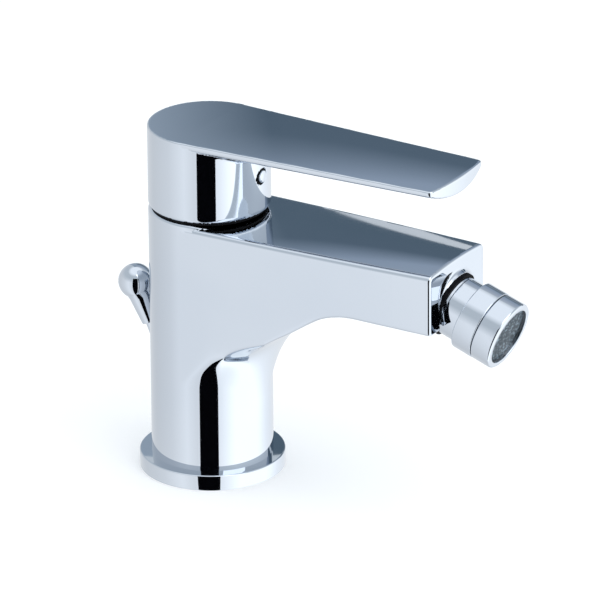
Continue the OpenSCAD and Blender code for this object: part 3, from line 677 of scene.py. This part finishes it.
lathe(
    "nozzle_front_ring",
    rounded([
        (FRONT_HOLE_R, FRONT_X, 0.0), (FRONT_R, FRONT_X, 0.35),
        (FRONT_R, OUTLET_X, 1.1), (OUTLET_R, OUTLET_X, 0.3),
        (OUTLET_R, INSERT_TO, 0.0), (INSERT_R, INSERT_TO, 0.0), (INSERT_R, INSERT_FROM, 0.0),
        (FRONT_HOLE_R, INSERT_FROM, 0.0),
    ]),
    BALL, NOZZLE_AXIS, chrome, "nozzle", ["aerator_housing"],
)

# Woven screen in the outlet, slightly domed; its near-black colour is painted shade and its bright specks are
# painted glints
AXIS_R = 0.05
SCREEN_R = 11.15
lathe(
    "outlet_screen",
    rounded([
        (AXIS_R, 15.95, 0.0), (SCREEN_R, 15.75, 0.0), (SCREEN_R, 16.05, 0.1),
        (5.5, 16.35, 3.0), (AXIS_R, 16.45, 0.0),
    ]),
    BALL, NOZZLE_AXIS, screen_material(), "nozzle", ["aerator_screen"],
)

# Index plug standing a little proud of the hub, in a black rubber ring with no CAD part that stands in for the
# shadow gap round the plug: painted shade
PLUG_AT = (COLUMN_R, 0.0, PLUG_Z)
PLUG_BACK = -2.5
PLUG_FACE_R = 2.4
SHADE_RING_IN_R, SHADE_RING_R, SHADE_RING_FACE = 2.45, 3.2, -0.25
lathe(
    "index_plug_face",
    rounded([
        (AXIS_R, PLUG_BACK, 0.0), (PLUG_FACE_R, PLUG_BACK, 0.0),
        (PLUG_FACE_R, 0.5, 0.35), (AXIS_R, 0.75, 0.0),
    ]),
    PLUG_AT, (1, 0, 0), chrome, "lever", ["index_plug"],
)
# painted shade: a black ring set in the hub's hole where there would only be the shadow gap round the plug
lathe(
    "index_plug_painted_shade_ring",
    rounded([
        (SHADE_RING_IN_R, PLUG_BACK, 0.0), (SHADE_RING_R, PLUG_BACK, 0.0),
        (SHADE_RING_R, SHADE_RING_FACE, 0.1), (SHADE_RING_IN_R, SHADE_RING_FACE, 0.1),
    ]),
    PLUG_AT, (1, 0, 0), MATERIALS["rubber"], "lever", [],
)

# Knob of the lift rod: ball, hollow neck and tapered sleeve
SLEEVE_L = 16.8
SLEEVE_R = 3.5
SLEEVE_HOLE_R = 2.25
SLEEVE_TOP_R, SLEEVE_TOP = 4.75, -6.2
lathe(
    "lift_knob_chrome",
    rounded([
        *arc(KNOB_R, math.pi / 2 - 0.01, -0.72, 40),
        (SLEEVE_TOP_R, SLEEVE_TOP, 1.5), (SLEEVE_R, -SLEEVE_L, 0.5),
        (SLEEVE_HOLE_R, -SLEEVE_L, 0.0), (SLEEVE_HOLE_R, -KNOB_R, 0.0), (AXIS_R, -KNOB_R, 0.0),
    ]),
    KNOB, ROD_AXIS, chrome, "lift", ["lift_knob"],
)

# Camera, fitted to the photograph: azimuth, elevation, roll and scale at the pivot
CAM_AZIMUTH = math.radians(31.2)
CAM_ELEVATION = math.radians(22.9)
CAM_ROLL = math.radians(0.43)
CAM_DISTANCE = 3000.0
CAM_SCALE = 2.624
CAM_PIVOT = Vector((20.0, 0.0, 75.0))
PIVOT_PIXEL = (255.41, 292.0)
IMAGE = 600
SENSOR = 36.0
CLIP_END = 100.0
right = Vector((math.cos(CAM_AZIMUTH), math.sin(CAM_AZIMUTH), 0))
back = Vector((
    math.sin(CAM_AZIMUTH) * math.cos(CAM_ELEVATION),
    -math.cos(CAM_AZIMUTH) * math.cos(CAM_ELEVATION),
    math.sin(CAM_ELEVATION),
))
up = back.cross(right)
cam_right = right * math.cos(CAM_ROLL) - up * math.sin(CAM_ROLL)
cam_up = right * math.sin(CAM_ROLL) + up * math.cos(CAM_ROLL)
shift_right = (IMAGE / 2 - PIVOT_PIXEL[0]) / CAM_SCALE
shift_down = (IMAGE / 2 - PIVOT_PIXEL[1]) / CAM_SCALE
target = CAM_PIVOT + cam_right * shift_right - cam_up * shift_down
camera = bpy.data.objects.new("camera", bpy.data.cameras.new("camera"))
bpy.context.scene.collection.objects.link(camera)
camera.data.sensor_width = SENSOR
camera.data.lens = SENSOR * CAM_DISTANCE / (IMAGE / CAM_SCALE)
camera.data.clip_end = CLIP_END
place = (target + back * CAM_DISTANCE) * MM
camera.matrix_world = Matrix((
    (cam_right.x, cam_up.x, back.x, place.x),
    (cam_right.y, cam_up.y, back.y, place.y),
    (cam_right.z, cam_up.z, back.z, place.z),
    (0, 0, 0, 1),
))
bpy.context.scene.camera = camera


# Stage
def card(name, corners, made, seen=False):
    """A flat stage card from its corners in millimetres; an unseen one shows only in reflections."""
    mesh = bpy.data.meshes.new(name)
    mesh.from_pydata([tuple(c * MM for c in corner) for corner in corners], [], [tuple(range(len(corners)))])
    mesh.materials.append(made)
    piece = bpy.data.objects.new(name, mesh)
    bpy.context.scene.collection.objects.link(piece)
    if not seen:
        piece.visible_camera = piece.visible_diffuse = piece.visible_shadow = False
    return piece


def on_floor(forward, across, z=0.4):
    """A point on the floor, given from the column's axis towards the camera and to its right."""
    ahead = Vector((back.x, back.y, 0)).normalized()
    return tuple(ahead * forward + right * across + Vector((0, 0, z)))


def spread_of(tree, source, low, high):
    """A number mapped from low..high to 0..1."""
    spread = tree.nodes.new("ShaderNodeMapRange")
    spread.inputs["From Min"].default_value = low
    spread.inputs["From Max"].default_value = high
    tree.links.new(source, spread.inputs["Value"])
    return spread.outputs["Result"]


# Pale floor: lit by the lamp and the tent, lifted to white for the camera; metal mirrors the tent instead
FLOOR = 4000.0
FLOOR_LIFT = 0.2
floor_made, floor_tree, floor_shader = new_material("pale_floor", (0.86, 0.86, 0.86), 0.0, 0.9)
floor_shader.inputs["Specular IOR Level"].default_value = 0.0
floor_shader.inputs["Emission Color"].default_value = (1, 1, 1, 1)
rays = floor_tree.nodes.new("ShaderNodeLightPath")
lift = floor_tree.nodes.new("ShaderNodeMath")
lift.operation = "MULTIPLY"
lift.inputs[1].default_value = FLOOR_LIFT
floor_tree.links.new(rays.outputs["Is Camera Ray"], lift.inputs[0])
floor_tree.links.new(lift.outputs["Value"], floor_shader.inputs["Emission Strength"])
floor_corners = [(-FLOOR, -FLOOR, 0), (FLOOR, -FLOOR, 0), (FLOOR, FLOOR, 0), (-FLOOR, FLOOR, 0)]
floor = card("floor", floor_corners, floor_made, True)
floor.visible_glossy = False

# Studio tent: pale panels on the left, white ones on the right, a soft sky with a light overhead, white
# for the camera
PANEL_LIGHT = 1.7
PANEL_TINT = (0.97, 1.0, 1.03)
PANELS = [
    (-180, 0.86), (-128, 0.87), (-82, 1.0), (-48, 1.2), (-28, 1.06),
    (16, 1.3), (44, 1.7), (95, 1.7), (124, 1.32), (180, 0.86),
]
SKY = (0.70, 0.76, 0.81)
SKY_FROM, SKY_FULL = 0.1, 0.5
OVERHEAD = (1.25, 1.3, 1.35)
OVERHEAD_FROM, OVERHEAD_FULL = 0.74, 0.9
world = bpy.data.worlds.new("studio")
world.use_nodes = True
bpy.context.scene.world = world
tent = world.node_tree
tent_coords = tent.nodes.new("ShaderNodeTexCoord")


def component(axis):
    """The viewing direction's part along an axis."""
    dot = tent.nodes.new("ShaderNodeVectorMath")
    dot.operation = "DOT_PRODUCT"
    dot.inputs[1].default_value = axis
    tent.links.new(tent_coords.outputs["Generated"], dot.inputs[0])
    return dot.outputs["Value"]


def layer_over(factor, under, color):
    """A colour of the tent laid over another by a factor."""
    mix = tent.nodes.new("ShaderNodeMix")
    mix.data_type = "RGBA"
    mix.inputs["B"].default_value = (*(c / PANEL_LIGHT for c in color), 1)
    tent.links.new(factor, mix.inputs["Factor"])
    tent.links.new(under, mix.inputs["A"])
    return mix.outputs["Result"]


turn = tent.nodes.new("ShaderNodeMath")
turn.operation = "ARCTAN2"
tent.links.new(component(right), turn.inputs[0])
tent.links.new(component(Vector((back.x, back.y, 0)).normalized()), turn.inputs[1])
panels = ramp_of(tent, spread_of(tent, turn.outputs["Value"], -math.pi, math.pi), [
    ((angle + 180) / 360, tuple(min(level * t / PANEL_LIGHT, 1) for t in PANEL_TINT))
    for angle, level in PANELS
])
rise = component((0, 0, 1))
sky = layer_over(spread_of(tent, rise, SKY_FROM, SKY_FULL), panels, SKY)
overhead = layer_over(spread_of(tent, rise, OVERHEAD_FROM, OVERHEAD_FULL), sky, OVERHEAD)
tent_light = tent.nodes["Background"]
tent_light.inputs["Strength"].default_value = PANEL_LIGHT
tent.links.new(overhead, tent_light.inputs["Color"])
backdrop = tent.nodes.new("ShaderNodeBackground")
backdrop.inputs["Color"].default_value = (1, 1, 1, 1)
tent_rays = tent.nodes.new("ShaderNodeLightPath")
tent_out = tent.nodes.new("ShaderNodeMixShader")
tent.links.new(tent_rays.outputs["Is Camera Ray"], tent_out.inputs["Fac"])
tent.links.new(tent_light.outputs["Background"], tent_out.inputs[1])
tent.links.new(backdrop.outputs["Background"], tent_out.inputs[2])
tent.links.new(tent_out.outputs["Shader"], tent.nodes["World Output"].inputs["Surface"])

# Soft lamp to the right
LAMP_SIZE = 0.8
LAMP_POWER = 3.0
LAMP_AT = Vector((700, -200, 800)) * MM
LAMP_TO = Vector((60, 0, 60)) * MM
lamp = bpy.data.objects.new("lamp", bpy.data.lights.new("lamp", "AREA"))
lamp.data.shape = "RECTANGLE"
lamp.data.size = LAMP_SIZE
lamp.data.size_y = LAMP_SIZE
lamp.data.energy = LAMP_POWER
bpy.context.scene.collection.objects.link(lamp)
lamp.location = LAMP_AT
lamp.rotation_euler = (LAMP_TO - LAMP_AT).to_track_quat("-Z", "Y").to_euler()

# Dark slate cards behind, which the flat tops mirror; they pale upwards and to the left
BACK_AWAY = 520.0
CARD_LOW, CARD_HIGH = 286.0, 900.0
CARD_LEFT, CARD_RIGHT = -160.0, 700.0
PALE_LEFT, PALE_END = -40.0, 20.0
SLATE_PALE = (0.40, 0.48, 0.57)
SLATE_STOPS = [
    (0.0, (0.11, 0.16, 0.21)), (0.10, (0.12, 0.17, 0.225)),
    (0.19, (0.36, 0.44, 0.55)), (1.0, (0.62, 0.67, 0.74)),
]
LOW_FROM, LOW_TO = 140.0, 262.0
slate_made = bpy.data.materials.new("slate_card")
slate_made.use_nodes = True
slate = slate_made.node_tree
slate.nodes.remove(slate.nodes["Principled BSDF"])
glow = slate.nodes.new("ShaderNodeEmission")
slate.links.new(glow.outputs["Emission"], slate.nodes["Material Output"].inputs["Surface"])
slate_coords = slate.nodes.new("ShaderNodeTexCoord")
slate_split = slate.nodes.new("ShaderNodeSeparateXYZ")
slate.links.new(slate_coords.outputs["Object"], slate_split.inputs["Vector"])
slate_across = slate.nodes.new("ShaderNodeVectorMath")
slate_across.operation = "DOT_PRODUCT"
slate_across.inputs[1].default_value = right
slate.links.new(slate_coords.outputs["Object"], slate_across.inputs[0])
slate_mix = slate.nodes.new("ShaderNodeMix")
slate_mix.data_type = "RGBA"
slate_mix.inputs["A"].default_value = (*SLATE_PALE, 1)
slate_side = spread_of(slate, slate_across.outputs["Value"], PALE_LEFT * MM, PALE_END * MM)
slate_height = spread_of(slate, slate_split.outputs["Z"], CARD_LOW * MM, CARD_HIGH * MM)
slate.links.new(slate_side, slate_mix.inputs["Factor"])
slate.links.new(ramp_of(slate, slate_height, SLATE_STOPS), slate_mix.inputs["B"])
slate.links.new(slate_mix.outputs["Result"], glow.inputs["Color"])


def back_card(name, low, high):
    """A slate card behind the object, between two heights."""
    card(name, [
        on_floor(-BACK_AWAY, CARD_LEFT, low), on_floor(-BACK_AWAY, CARD_RIGHT, low),
        on_floor(-BACK_AWAY, CARD_RIGHT, high), on_floor(-BACK_AWAY, CARD_LEFT, high),
    ], slate_made)


back_card("slate_card", CARD_LOW, CARD_HIGH)
# the lower card is mirrored by the foot ring's top
back_card("low_card", LOW_FROM, LOW_TO)

# Black slit of the tent in front, from above the camera to below the object: it draws the dark stripes
SLIT_AWAY = 2000.0
SLIT_LEFT, SLIT_RIGHT = -23.0, 12.0
SLIT_TOP, SLIT_LOW = 35.0, -88.0
SLIT_ROWS = 12
black_made, _, black_shader = new_material("black_slit", (0.002, 0.002, 0.003), 0.0, 0.9)
black_shader.inputs["Specular IOR Level"].default_value = 0.0


def tent_point(across, height):
    """A point of the tent, given in degrees to the right of the camera and above the floor."""
    level = SLIT_AWAY * math.cos(math.radians(height))
    turn = math.radians(across)
    rise = SLIT_AWAY * math.sin(math.radians(height))
    return on_floor(level * math.cos(turn), level * math.sin(turn), rise)


heights = np.linspace(SLIT_TOP, SLIT_LOW, SLIT_ROWS + 1)
for row in range(SLIT_ROWS):
    card(f"black_slit_{row + 1}", [
        tent_point(SLIT_LEFT, heights[row]), tent_point(SLIT_RIGHT, heights[row]),
        tent_point(SLIT_RIGHT, heights[row + 1]), tent_point(SLIT_LEFT, heights[row + 1]),
    ], black_made)

bpy.context.scene.view_settings.view_transform = "Standard"
